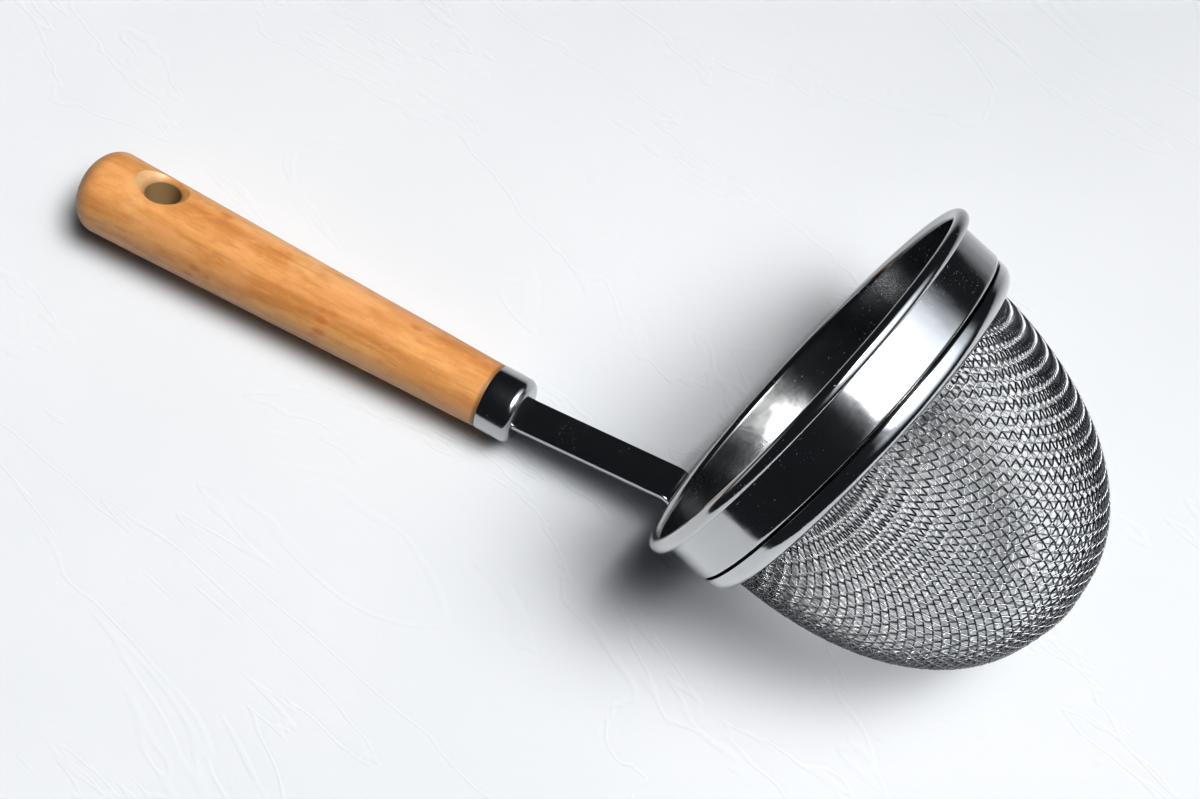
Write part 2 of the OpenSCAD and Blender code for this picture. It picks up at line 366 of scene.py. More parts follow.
def lacquered_wood(name):
    m, n, b = material(name)
    vec, x, y, z = n.canon()
    # gentle wander of the grain along the handle
    wander = n.noise(n.scaled(vec, 60, 60, 22), 1.0, 2.0, 0.5)
    gx = n.math("ADD", x, n.math("MULTIPLY", n.math("SUBTRACT", wander, 0.5), 0.006))
    wv = n.combine(gx, y, z)
    broad = n.noise(n.scaled(wv, 210, 120, 13), 1.0, 4.0, 0.55, 0.2)
    streak = n.noise(n.scaled(wv, 900, 520, 22), 1.0, 3.0, 0.6)
    pores = n.noise(n.scaled(wv, 4200, 3000, 160), 1.0, 2.0, 0.6)
    patch = n.noise(n.scaled(vec, 70, 70, 34), 1.0, 3.0, 0.6, 0.6)
    col = n.ramp(broad, [(0.30, (0.396, 0.160, 0.048)), (0.42, (0.542, 0.252, 0.080)), (0.55, (0.654, 0.335, 0.120)), (0.68, (0.722, 0.412, 0.171))])
    col = n.mix(n.smooth(patch, 0.50, 0.64, 0.0, 0.45), col, (0.774, 0.484, 0.251))
    col = n.mix(n.smooth(streak, 0.54, 0.68, 0.0, 0.26), col, (0.430, 0.175, 0.051))
    # short flecks and mottling under the lacquer
    fleck = n.noise(n.scaled(vec, 620, 620, 300), 1.0, 3.0, 0.6)
    col = n.mix(n.smooth(fleck, 0.52, 0.70, 0.0, 0.22), col, (0.790, 0.470, 0.225))
    col = n.mix(n.smooth(fleck, 0.48, 0.34, 0.0, 0.26), col, (0.500, 0.205, 0.062))
    broad_tone = n.noise(n.scaled(vec, 95, 95, 48), 1.0, 2.0, 0.5, 0.3)
    col = n.mix(n.smooth(broad_tone, 0.50, 0.66, 0.0, 0.5), col, (0.735, 0.400, 0.185))
    col = n.mix(n.smooth(pores, 0.60, 0.74, 0.0, 0.35), col, (0.344, 0.139, 0.043))
    spot = n.math("MULTIPLY", n.smooth(n.voronoi(n.scaled(vec, 330, 330, 170), 1.0), 0.40, 0.12), n.smooth(n.noise(vec, 75, 1.0), 0.54, 0.62))
    col = n.mix(n.math("MULTIPLY", spot, 0.62), col, (0.520, 0.170, 0.045))
    # bare, paler wood in the drilled hole, and the same pale colour on a crescent of its flare, a painted highlight
    bare_and_lit = n.new("ShaderNodeAttribute", attribute_name="bare_and_lit")
    dry_wood_and_shade = n.mix(n.smooth(pores, 0.5, 0.8), (0.520, 0.375, 0.200), (0.400, 0.262, 0.125))
    # painted shade: deeper in the hole the bare wood is painted darker
    dry_wood_and_shade = n.mix(n.smooth(n.math("ABSOLUTE", x), 0.0086, 0.0074), dry_wood_and_shade, (0.330, 0.225, 0.112))
    col = n.mix(bare_and_lit.outputs["Fac"], col, dry_wood_and_shade)
    # end grain on the dome
    rings = n.math("SINE", n.math("MULTIPLY", n.math("ADD", gx, n.math("MULTIPLY", broad, 0.004)), 5200))
    endg = n.smooth(z, (HANDLE_LEN - 4.2) * MM, (HANDLE_LEN - 0.6) * MM)
    col = n.mix(n.math("MULTIPLY", n.math("MULTIPLY", endg, n.smooth(rings, -0.2, 1.0)), 0.45), col, (0.387, 0.170, 0.057))
    # a dark line of glue and dirt where the wood meets the ferrule
    col = n.mix(n.smooth(z, (FERRULE_LEN + 1.3) * MM, (FERRULE_LEN + 0.3) * MM, 0.0, 0.75), col, (0.150, 0.085, 0.032))
    n.link(col, b.inputs["Base Color"])
    rr = n.math("ADD", 0.34, n.math("MULTIPLY", streak, 0.16))
    rr = n.math("ADD", rr, n.math("MULTIPLY", bare_and_lit.outputs["Fac"], 0.3))
    n.link(rr, b.inputs["Roughness"])
    h = n.math("ADD", n.math("MULTIPLY", n.smooth(pores, 0.55, 0.75), -0.6), n.math("MULTIPLY", streak, 0.5))
    nn = n.bump(h, 0.00004)
    nn = n.bump(n.noise(n.scaled(vec, 160, 160, 40), 1.0, 2.0, 0.5), 0.00012, 1.0, nn)
    n.link(nn, b.inputs["Normal"])
    b.inputs["Coat Weight"].default_value = 0.22
    b.inputs["Coat Roughness"].default_value = 0.22
    return m


def plaster(name, fade=None):
    """fade: an attribute that the colour is multiplied by."""
    m, n, b = material(name)
    g = n.new("ShaderNodeTexCoord")
    vec = g.outputs["Object"]
    tone = n.noise(vec, 9.0, 3.0, 0.5)
    trowel = n.noise(n.scaled(vec, 9, 26, 1), 1.0, 4.0, 0.55, 0.8)
    fine = n.noise(vec, 420.0, 2.0, 0.6)
    col = n.mix(n.smooth(tone, 0.3, 0.7), (0.638, 0.66, 0.69), (0.662, 0.682, 0.71))
    sp = n.new("ShaderNodeSeparateXYZ")
    n.link(vec, sp.inputs[0])
    # painted shade: the floor's colour darkens by up to 13% towards the top and right of the view, a falloff of the
    # light
    shade_slope = n.math("ADD", n.math("MULTIPLY", sp.outputs[0], float(flat_up[0] + 0.5 * flat_right[0])), n.math("MULTIPLY", sp.outputs[1], float(flat_up[1] + 0.5 * flat_right[1])))
    col = n.mix(n.smooth(shade_slope, -0.02, 0.16, 0.0, 0.13), col, (0.0, 0.0, 0.0))
    if fade:
        a = n.new("ShaderNodeAttribute")
        a.attribute_name = fade
        col = n.mix(a.outputs["Fac"], (0.02, 0.022, 0.025), col)
    n.link(col, b.inputs["Base Color"])
    n.link(n.math("ADD", 0.62, n.math("MULTIPLY", fine, 0.14)), b.inputs["Roughness"])
    ridge = n.smooth(n.math("ABSOLUTE", n.math("SUBTRACT", trowel, 0.5)), 0.012, 0.0)
    lump = n.smooth(n.noise(vec, 130.0, 2.0, 0.5), 0.60, 0.72)
    hgt = n.math("ADD", n.math("MULTIPLY", ridge, 0.30), n.math("ADD", n.math("MULTIPLY", trowel, 0.8), n.math("MULTIPLY", fine, 0.11)))
    hgt = n.math("ADD", hgt, n.math("MULTIPLY", n.math("MULTIPLY", lump, n.smooth(tone, 0.45, 0.65)), 0.25))
    n.link(n.bump(hgt, 0.00036, 0.38), b.inputs["Normal"])
    b.inputs["Specular IOR Level"].default_value = 0.3
    return m


# ------------------------------------------------------------------ meshes


def finish_mesh(name, verts, faces, placed, mat, replaces, smooth_angle=40.0, canon=None, extra=None):
    """An object from points in its own frame (millimetres), placed in the row frame."""
    verts = np.asarray(verts, float)
    me = bpy.data.meshes.new(name)
    world = np.array(placed)
    pts = (verts * MM) @ world[:3, :3].T + world[:3, 3]
    me.from_pydata(pts.tolist(), [], faces)
    me.validate()
    bm = bmesh.new()
    bm.from_mesh(me)
    bmesh.ops.recalc_face_normals(bm, faces=bm.faces)
    bm.to_mesh(me)
    bm.free()
    att = me.attributes.new("canon", "FLOAT_VECTOR", "POINT")
    att.data.foreach_set("vector", ((verts if canon is None else canon) * MM).astype(np.float32).ravel())
    if extra is not None:
        for k, v in extra.items():
            a = me.attributes.new(k, "FLOAT", "POINT")
            a.data.foreach_set("value", np.asarray(v, np.float32))
    me.polygons.foreach_set("use_smooth", [True] * len(me.polygons))
    if smooth_angle is not None:
        me.set_sharp_from_angle(angle=math.radians(smooth_angle))
    me.materials.append(mat)
    o = bpy.data.objects.new(name, me)
    scene.collection.objects.link(o)
    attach(o, "root")
    if replaces:
        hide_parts(*replaces)
    return o


def arc(c, r, a0, a1, n, first=0):
    return [(c[0] + r * math.cos(math.radians(a0 + (a1 - a0) * i / n)), c[1] + r * math.sin(math.radians(a0 + (a1 - a0) * i / n))) for i in range(first, n + 1)]


def line(p, q, n):
    return [(p[0] + (q[0] - p[0]) * i / n, p[1] + (q[1] - p[1]) * i / n) for i in range(1, n)]


def sheet(path, t, edge=0.16, k=4):
    """Outline of a bent sheet of thickness t, its cut edges rounded over."""
    p = np.array(path)
    d = np.gradient(p, axis=0)
    d /= np.linalg.norm(d, axis=1)[:, None]
    nrm = np.column_stack([-d[:, 1], d[:, 0]])
    left, right = p + nrm * t / 2, p - nrm * t / 2

    def cap(e, tang, normal):
        pts = []
        for s in (1, -1):
            c = e + normal * s * (t / 2 - edge) - tang * edge
            seq = range(k + 1) if s == 1 else range(k, -1, -1)
            for i in seq:
                a = math.radians(90 - 90 * i / k)
                pts.append(c + normal * s * edge * math.sin(a) + tang * edge * math.cos(a))
        return pts

    end = cap(p[-1], d[-1], nrm[-1])
    start = cap(p[0], -d[0], -nrm[0])
    # drop the path's own last points where the rounded edge takes over
    keep_l = [q for q in left if (q - p[-1]) @ d[-1] < -edge * 1.2 or np.linalg.norm(q - p[-1]) > 3 * t]
    keep_l = [q for q in keep_l if (q - p[0]) @ -d[0] < -edge * 1.2 or np.linalg.norm(q - p[0]) > 3 * t]
    keep_r = [q for q in right[::-1] if (q - p[-1]) @ d[-1] < -edge * 1.2 or np.linalg.norm(q - p[-1]) > 3 * t]
    keep_r = [q for q in keep_r if (q - p[0]) @ -d[0] < -edge * 1.2 or np.linalg.norm(q - p[0]) > 3 * t]
    return [tuple(q) for q in keep_l + end + keep_r + start]


def lathe_loop(outline, segs, wobble=None):
    """A closed outline turned about z, as points and faces."""
    o = np.array(outline)
    n = len(o)
    th = np.linspace(0, 2 * math.pi, segs, endpoint=False)
    v = np.zeros((segs, n, 3))
    for i, t in enumerate(th):
        r = o[:, 0].copy()
        z = o[:, 1].copy()
        if wobble is not None:
            r, z = wobble(r, z, t)
        v[i, :, 0], v[i, :, 1], v[i, :, 2] = r * math.cos(t), r * math.sin(t), z
    faces = []
    for i in range(segs):
        j = (i + 1) % segs
        for a in range(n):
            b = (a + 1) % n
            faces.append((i * n + a, j * n + a, j * n + b, i * n + b))
    return v.reshape(-1, 3), faces


# ---- rim: rolled lip, band, step and skirt

steel_rim = steel("rim_steel", (0.60, 0.605, 0.612), 0.125, wave=2.2, specks=1.6, inside=(BAND_RI + 0.2) / 1000)
steel_ring = steel("ring_steel", (0.64, 0.65, 0.66), 0.10, wave=2.5)
steel_cup = steel("ferrule_steel", (0.52, 0.53, 0.54), 0.17, wave=2.0, specks=0.7)
steel_strap = steel("strap_steel", (0.52, 0.53, 0.54), 0.13, along="z", wave=0.6)
lying = strainer_m.to_3x3().inverted() @ Vector((0, 0, -1))
lying.z = 0
lying.normalize()
# the third colour is a painted highlight on the far, lower side of the cloth
wire_mat = wire_steel("wire_steel", (0.18, 0.185, 0.195), (0.80, 0.805, 0.815), lying)
wood_mat = lacquered_wood("wood")


def rim_wobble(r, z, t):
    # a pressed and rolled sheet is never quite round
    s = 0.018 * math.sin(2 * t + 0.7) + 0.010 * math.sin(3 * t + 2.1) + 0.005 * math.sin(7 * t + 0.4)
    return r + s * np.clip((-z) / 6 + 0.4, 0, 1) - 0.02, z + 0.012 * math.sin(3 * t + 1.2) - 0.012


wall_x = BAND_RI + BAND_T / 2
skirt_x = RING_C[0] + SKIRT_CR
step_z = -GROOVE_Z - 0.15
rim_path = arc(BEAD, LIP_R - BAND_T / 2, -60, 180, 56)
top = rim_path[-1]
rim_path += line(top, (wall_x, step_z + 0.7), 14)
rim_path += arc((wall_x - 0.7, step_z + 0.7), 0.7, 0, -90, 10)
rim_path += arc((skirt_x + 0.6, step_z - 0.6), 0.6, 90, 180, 10, 1)
rim_path += arc(RING_C, SKIRT_CR, 0, -50, 8)
v, f = lathe_loop(sheet(rim_path, BAND_T), 360, rim_wobble)
rim = finish_mesh("rim", v, f, strainer_m, steel_rim, ["rim_band"])

# ---- clamp ring

ring_path = [(RING_RO - BAND_T / 2, -GROOVE_Z - GROOVE_W)]
ring_path += line(ring_path[0], (RING_RO - BAND_T / 2, RING_C[1]), 3)
ring_path += arc(RING_C, RING_CR - BAND_T / 2, 0, -84, 28)


def ring_wobble(r, z, t):
    return r + 0.012 * math.sin(2 * t + 2.2) + 0.008 * math.sin(5 * t + 0.3) - 0.02, z + 0.02 * math.sin(4 * t + 1.0)


v, f = lathe_loop(sheet(ring_path, BAND_T), 360, ring_wobble)
ring = finish_mesh("clamp_ring", v, f, strainer_m, steel_ring, ["mesh_ring"])

# ---- ferrule: a drawn cup with a slot for the strap in its face

cup_r = WOOD_R0 + 0.1
out_prof = arc((cup_r - SHOULDER_R, SHOULDER_R), SHOULDER_R, -90, 0, 20)
out_prof += line(out_prof[-1], (cup_r, FERRULE_LEN - 0.14), 5)
out_prof += arc((cup_r - 0.14, FERRULE_LEN - 0.14), 0.14, 0, 90, 4)
in_prof = [(cup_r - FERRULE_T, FERRULE_LEN)]
in_prof += line(in_prof[0], (cup_r - FERRULE_T, SHOULDER_R), 3)
in_prof += arc((cup_r - SHOULDER_R, SHOULDER_R), SHOULDER_R - FERRULE_T, 0, -90, 10)
prof = out_prof + in_prof
SEG = 160
pv = []
for i in range(SEG):
    t = 2 * math.pi * i / SEG
    for r, z in prof:
        pv.append((r * math.cos(t), r * math.sin(t), z))
npf = len(prof)
pf = []
for i in range(SEG):
    j = (i + 1) % SEG
    for a in range(npf - 1):
        pf.append((i * npf + a, j * npf + a, j * npf + a + 1, i * npf + a + 1))
# face plates with the slot
base = len(pv)
sw, st = STRAP_W / 2 + 0.03, STRAP_T / 2 + 0.05
corner = 0.25
slot_loop = []
for cx, cy, a0 in ((st - corner, sw - corner, 0), (-st + corner, sw - corner, 90), (-st + corner, -sw + corner, 180), (st - corner, -sw + corner, 270)):
    for i in range(4):
        a = math.radians(a0 + 30 * i)
        slot_loop.append((cx + corner * math.cos(a), cy + corner * math.sin(a)))
ns = len(slot_loop)
for z in (0.0, FERRULE_T):
    pv += [(a, b_, z) for a, b_ in slot_loop]
for i in range(ns):
    j = (i + 1) % ns
    pf.append((base + i, base + j, base + ns + j, base + ns + i))


def plate(outer_idx, inner_idx):
    """Triangles between an outer round loop and an inner slot loop, both in order by angle."""
    out = []
    A = [(math.atan2(pv[i][1], pv[i][0]) % (2 * math.pi), i) for i in outer_idx]
    B = [(math.atan2(pv[i][1], pv[i][0]) % (2 * math.pi), i) for i in inner_idx]
    A.sort()
    B.sort()
    ia = ib = 0
    na, nb = len(A), len(B)
    while ia < na or ib < nb:
        a0, b0 = A[ia % na][1], B[ib % nb][1]
        ta = A[(ia + 1) % na][0] + (2 * math.pi if ia + 1 >= na else 0)
        tb = B[(ib + 1) % nb][0] + (2 * math.pi if ib + 1 >= nb else 0)
        if ib >= nb or (ia < na and ta <= tb):
            out.append((a0, A[(ia + 1) % na][1], b0))
            ia += 1
        else:
            out.append((a0, B[(ib + 1) % nb][1], b0))
            ib += 1
    return out


pf += plate([i * npf for i in range(SEG)], list(range(base, base + ns)))
pf += plate([i * npf + npf - 1 for i in range(SEG)], list(range(base + ns, base + 2 * ns)))
ferrule = finish_mesh("ferrule_cup", pv, pf, handle_m, steel_cup, ["ferrule"], smooth_angle=35)

# ---- strap: leg on the band, turn round the lip, free length, tang in the wood

sd = (math.cos(math.radians(STRAP_A)), math.sin(math.radians(STRAP_A)))
so = (sd[1], -sd[0])
pad_x = BAND_RO + STRAP_T / 2
pad_z = -GROOVE_Z + 0.4
bend_u = math.sqrt((BEND_R + WRAP_R) ** 2 - (BEND_R + LINE_OFF) ** 2)
bend_c = (BEAD[0] + (LINE_OFF + BEND_R) * so[0] + bend_u * sd[0], BEAD[1] + (LINE_OFF + BEND_R) * so[1] + bend_u * sd[1])
wrap_a0 = math.degrees(math.atan2(bend_c[1] - BEAD[1], bend_c[0] - BEAD[0]))
leg_c = (pad_x + LEG_R, -math.sqrt((LEG_R + WRAP_R) ** 2 - (pad_x + LEG_R - BEAD[0]) ** 2))
wrap_a1 = math.degrees(math.atan2(leg_c[1], leg_c[0] - BEAD[0]))
foot = (BEAD[0] + LINE_OFF * so[0], BEAD[1] + LINE_OFF * so[1])
crook = (foot[0] + (3.0 + STRAP_LEN - 1) * sd[0], foot[1] + (3.0 + STRAP_LEN - 1) * sd[1])
ha = math.radians(HANDLE_A)
hd = (math.cos(ha), math.sin(ha))
face2 = (crook[0] + hd[0], crook[1] + hd[1])
path = [(pad_x, pad_z)]
leg = arc(leg_c, LEG_R, 180, 180 + wrap_a1, 14)
path += line(path[0], leg[0], 4) + leg
path += arc(BEAD, WRAP_R, wrap_a1, wrap_a0, 16, 1)
bend = arc(bend_c, BEND_R, 180 + wrap_a0, 180 - (90 - STRAP_A), 16, 1)
path += bend
path += line(bend[-1], crook, 8) + [crook, (face2[0] - 0.4 * hd[0], face2[1] - 0.4 * hd[1])]
path += [(face2[0] + s * hd[0], face2[1] + s * hd[1]) for s in (0.6, 2.0, 3.0)]
n_wide = len(path)
path += [(face2[0] + s * hd[0], face2[1] + s * hd[1]) for s in (3.02, 12, 24, 36, TANG_LEN)]
path = np.array(path)
tan = np.gradient(path, axis=0)
tan /= np.linalg.norm(tan, axis=1)[:, None]
nor = np.column_stack([-tan[:, 1], tan[:, 0]])
run = np.r_[0, np.cumsum(np.linalg.norm(np.diff(path, axis=0), axis=1))]
er = 0.28
sec = []
for cx, cy, a0 in ((STRAP_T / 2 - er, 0, 0), (-STRAP_T / 2 + er, 0, 90), (-STRAP_T / 2 + er, 0, 180), (STRAP_T / 2 - er, 0, 270)):
    side = 1 if a0 < 180 else -1
    if a0 in (90, 270):
        # a row close to the turn of the edge, so the narrow side stays flat
        sec.append((cx - side * (-0.04), side, side * er))
    for i in range(5):
        a = math.radians(a0 + 22.5 * i)
        sec.append((cx + er * math.cos(a), side, er * math.sin(a)))
    if a0 in (0, 180):
        sec.append((cx - side * 0.04, side, side * er))
    if a0 == 90:
        # rows across the inner face
        for q in (1.0, 0.985, 0.6, 0.2, -0.2, -0.6, -0.985):
            sec.append((-STRAP_T / 2, q, -0.05 * q if abs(q) > 0.9 else 0.0))
    if a0 == 270:
        for q in (-1.0, -0.985, -0.6, -0.2, 0.2, 0.6, 0.985):
            sec.append((STRAP_T / 2, q, -0.05 * q if abs(q) > 0.9 else 0.0))
vs, fs, cs = [], [], []
for k in range(len(path)):
    half = STRAP_W / 2 if k < n_wide else TANG_W / 2
    if k == 0:
        half -= 0.35
    elif k == 1:
        half -= 0.05
    for t_, side, e in sec:
        yy = side * (half - er) + e
        # flat stretches cross the strip at two more rows, so the long faces stay square
        pt = path[k] + nor[k] * t_
        # the leg follows the round of the band
        fit = max(0.0, min(1.0, (-pt[1] - 2.2) / 2.5))
        dx = BAND_RO - math.sqrt(BAND_RO ** 2 - yy ** 2)
        vs.append((pt[0] - dx * fit, yy, pt[1]))
        cs.append((t_, yy, run[k]))
nsec = len(sec)
for k in range(len(path) - 1):
    for a in range(nsec):
        b_ = (a + 1) % nsec
        fs.append((k * nsec + a, k * nsec + b_, (k + 1) * nsec + b_, (k + 1) * nsec + a))
fs.append(tuple(range(nsec)))
fs.append(tuple(range((len(path) - 1) * nsec, len(path) * nsec)))
strap = finish_mesh("strap_strip", vs, fs, strainer_m, steel_strap, ["strap"], smooth_angle=50, canon=np.array(cs))

# ---- wooden handle, turned, with the drilled and flared hanging hole

spig_r = cup_r - FERRULE_T - 0.01


def wood_radius(s):
    t = (s - FERRULE_LEN) / (HANDLE_LEN - DOME_H - FERRULE_LEN)
    t = max(0.0, min(1.0, t))
    return WOOD_R0 + (WOOD_R1 - WOOD_R0) * t


prof = [(spig_r - 1.5, FERRULE_T + 0.02), (spig_r, 2.0), (spig_r, FERRULE_LEN - 0.3), (spig_r, FERRULE_LEN + 0.02), (WOOD_R0 - 0.22, FERRULE_LEN + 0.03), (WOOD_R0 - 0.06, FERRULE_LEN + 0.12), (WOOD_R0, FERRULE_LEN + 0.35)]
for s in np.linspace(FERRULE_LEN + 1.2, HANDLE_LEN - DOME_H - 0.5, 90):
    prof.append((wood_radius(s), s))
for i in range(0, 24):
    a = math.radians(90 * i / 24)
    prof.append((WOOD_R1 * math.cos(a), HANDLE_LEN - DOME_H + DOME_H * math.sin(a)))
WSEG = 144
hv, hf = [], []
for i in range(WSEG):
    t = 2 * math.pi * i / WSEG
    for r, z in prof:
        # hand-finished: the taper is a touch uneven
        u = 0.035 * math.sin(z * 0.11 + 1.3 * math.sin(t)) * math.sin(2 * t + z * 0.02) if FERRULE_LEN + 3 < z < HANDLE_LEN - 3 else 0.0
        rr = r + u - (0.03 if z > FERRULE_LEN + 3 else 0.0)
        hv.append((rr * math.cos(t), rr * math.sin(t), z))
npf = len(prof)
for i in range(WSEG):
    j = (i + 1) % WSEG
    for a in range(npf - 1):
        hf.append((i * npf + a, j * npf + a, j * npf + a + 1, i * npf + a + 1))
hv.append((0, 0, HANDLE_LEN))
tip = len(hv) - 1
hv.append((0, 0, FERRULE_T + 0.02))
root = len(hv) - 1
for i in range(WSEG):
    j = (i + 1) % WSEG
    hf.append((i * npf + npf - 1, j * npf + npf - 1, tip))
    hf.append((j * npf, i * npf, root))


def cut_tool(name, rings):
    """A closed turned tool about the hole's axis: rings of (radius, distance along the hole)."""
    N = 72
    vv, ff = [], []
    for r, q in rings:
        for i in range(N):
            t = 2 * math.pi * i / N
            vv.append((q, r * math.sin(t), HOLE_S + r * math.cos(t)))
    m = len(rings)
    for k in range(m - 1):
        for i in range(N):
            j = (i + 1) % N
            ff.append((k * N + i, k * N + j, (k + 1) * N + j, (k + 1) * N + i))
    ff.append(tuple(range(N)))
    ff.append(tuple(range((m - 1) * N, m * N)))
    me = bpy.data.meshes.new(name)
    me.from_pydata((np.array(vv) * MM).tolist(), [], ff)
    bm = bmesh.new()
    bm.from_mesh(me)
    bmesh.ops.recalc_face_normals(bm, faces=bm.faces)
    bm.to_mesh(me)
    bm.free()
    o = bpy.data.objects.new(name, me)
    scene.collection.objects.link(o)
    return o


def flare(q):
    """Radius of the hole at a distance q from the handle's axis: straight, then a rounded flare."""
    q = abs(q)
    if q <= 7.1:
        return HOLE_R
    t = q - 7.1
    return HOLE_R + (FLARE_R - HOLE_R) * t / 2.3 * (0.55 + 0.45 * min(1.0, t / 2.3))


qs = [-12, -11, -10.2, -9.8, -9.4, -9.0, -8.6, -8.2, -7.8, -7.45, -7.1, -4, 0, 4, 7.1, 7.45, 7.8, 8.2, 8.6, 9.0, 9.4, 9.8, 10.2, 11, 12]
tool = cut_tool("hole_tool", [(flare(q), q) for q in qs])
me = bpy.data.meshes.new("handle_blank")
me.from_pydata((np.array(hv) * MM).tolist(), [], hf)
bm = bmesh.new()
bm.from_mesh(me)
bmesh.ops.recalc_face_normals(bm, faces=bm.faces)
bm.to_mesh(me)
bm.free()
blank = bpy.data.objects.new("handle_blank", me)
scene.collection.objects.link(blank)
mod = blank.modifiers.new("hole", "BOOLEAN")
mod.operation = "DIFFERENCE"
mod.solver = "EXACT"
mod.object = tool
dg = bpy.context.evaluated_depsgraph_get()
cut = bpy.data.meshes.new_from_object(blank.evaluated_get(dg))
hv = np.array([v_.co for v_ in cut.vertices]) / MM
hf = [tuple(p.vertices) for p in cut.polygons]
for o in (blank, tool):
    bpy.data.objects.remove(o)
rad_hole = np.hypot(hv[:, 1], hv[:, 2] - HOLE_S)
prof_r = np.array([flare(q) for q in hv[:, 0]])
bare_and_lit = ((rad_hole < prof_r + 0.03) & (np.abs(rad_hole) < FLARE_R + 0.5)).astype(float)
# the lacquer ran into the flare; a crescent towards the end of the handle keeps the pale bare-wood colour, a painted
# highlight on the side of the flare that faces the light
lean = np.clip(((hv[:, 2] - HOLE_S) / np.maximum(rad_hole, 0.1) - 0.60) / 0.35, 0, 1)
bare_and_lit = bare_and_lit * np.where(np.abs(hv[:, 0]) < 7.3, 1.0, 0.10 + 0.62 * lean)
handle = finish_mesh("handle", hv, hf, handle_m, wood_mat, ["handle_grip"], smooth_angle=32, extra={"bare_and_lit": bare_and_lit})

# ------------------------------------------------------------------ woven wire cloth

PITCH = 1.82
WIRE_R = 0.178
LIFT = 0.184
CLOTH_ROT = math.radians(65.0)

a = np.radians(np.linspace(0, 90, 2401))
cr_ = CLOTH_MID * np.maximum(np.cos(a), 0) ** (2 / SIDE_P)
cz_ = CLOTH_Z0 - CLOTH_H * np.sin(a) ** (2 / FLOOR_P)
cr_[-1] = 0
cr_, cz_ = cr_[::-1], cz_[::-1]
tuck0 = (RING_C[0] + TUCK_R * math.cos(math.radians(-62)), RING_C[1] + TUCK_R * math.sin(math.radians(-62)))
blend_pt = (tuck0[0] * 0.45 + CLOTH_MID * 0.55, tuck0[1] * 0.62 + CLOTH_Z0 * 0.38)
# smooth turn from the side of the basket into the tuck behind the ring
ctrl = [(CLOTH_MID, CLOTH_Z0), blend_pt, tuck0] + arc(RING_C, TUCK_R, -52, 8, 12)
ctrl = np.array(ctrl)
tk = np.r_[0, np.cumsum(np.linalg.norm(np.diff(ctrl, axis=0), axis=1))]
tt = np.linspace(0, tk[-1], 200)[1:]
er_, ez_ = np.interp(tt, tk, ctrl[:, 0]), np.interp(tt, tk, ctrl[:, 1])
pr_, pz_ = np.r_[cr_, er_], np.r_[cz_, ez_]
arc_s = np.r_[0, np.cumsum(np.hypot(np.diff(pr_), np.diff(pz_)))]
S_SIDE = arc_s[len(cr_) - 1]
S_MAX = arc_s[-1]
grid_s = np.linspace(0, S_MAX, 3000)
grid_r = np.interp(grid_s, arc_s, pr_)
grid_z = np.interp(grid_s, arc_s, pz_)
k_ = np.ones(41) / 41
pad = 20
gr_s = np.convolve(np.r_[-grid_r[pad:0:-1], grid_r, np.full(pad, grid_r[-1])], k_, "valid")
gz_s = np.convolve(np.r_[grid_z[pad:0:-1], grid_z, np.full(pad, grid_z[-1])], k_, "valid")
grid_r, grid_z = gr_s, gz_s
grid_r[0] = 0.0
step = grid_s[1]


def prof_at(s):
    u = min(max(s / step, 0.0), len(grid_s) - 1.001)
    i = int(u)
    w = u - i
    return grid_r[i] * (1 - w) + grid_r[i + 1] * w, grid_z[i] * (1 - w) + grid_z[i + 1] * w


def pt(s, t):
    r, z = prof_at(s)
    return (r * math.cos(t), r * math.sin(t), z)


def dist(p, q):
    return math.sqrt((p[0] - q[0]) ** 2 + (p[1] - q[1]) ** 2 + (p[2] - q[2]) ** 2)


def knot(A, B, C):
    """The crossing one pitch away from A and from B, across from C, by Newton's method."""
    pa, pb, pc = pt(*A), pt(*B), pt(*C)
    gx, gy = pa[0] + pb[0] - pc[0], pa[1] + pb[1] - pc[1]
    s, t = A[0] + B[0] - C[0], math.atan2(gy, gx)
    e = 1e-4
    for _ in range(40):
        p = pt(s, t)
        f0, f1 = dist(p, pa) - PITCH, dist(p, pb) - PITCH
        if abs(f0) < 1e-6 and abs(f1) < 1e-6:
            break
        ps, pt_ = pt(s + e, t), pt(s, t + e)
        j00, j01 = (dist(ps, pa) - PITCH - f0) / e, (dist(pt_, pa) - PITCH - f0) / e
        j10, j11 = (dist(ps, pb) - PITCH - f1) / e, (dist(pt_, pb) - PITCH - f1) / e
        det = j00 * j11 - j01 * j10
        if abs(det) < 1e-12:
            return None
        ds, dt = (-f0 * j11 + f1 * j01) / det, (-f1 * j00 + f0 * j10) / det
        m = max(abs(ds), abs(dt) * 20)
        if m > 1:
            ds, dt = ds / m, dt / m
        s, t = s + ds, t + dt
    p = pt(s, t)
    if dist(p, pa) - PITCH > 2e-3 or dist(p, pc) < 0.3 * PITCH:
        return None
    return (s, t)


n_cells = int(S_MAX / PITCH) + 1
quad = {}
for i in range(n_cells):
    quad[(i, 0)] = (i * PITCH, 0.0)
    quad[(0, i)] = (i * PITCH, math.pi / 2)
for j in range(1, n_cells):
    for i in range(1, n_cells):
        if i < j:
            # the quadrant is symmetric about its diagonal
            q = quad.get((j, i))
            if q is not None:
                quad[(i, j)] = (q[0], math.pi / 2 - q[1])
            continue
        A, B, C = quad.get((i - 1, j)), quad.get((i, j - 1)), quad.get((i - 1, j - 1))
        if A is None or B is None or C is None or max(A[0], B[0]) > S_MAX - 0.2:
            continue
        q = knot(A, B, C)
        if q is not None:
            quad[(i, j)] = q


def crossing(i, j):
    q = quad.get((abs(i), abs(j)))
    if q is None:
        return None
    s, t = q
    t = t if i >= 0 else math.pi - t
    t = t if j >= 0 else -t
    return s, t


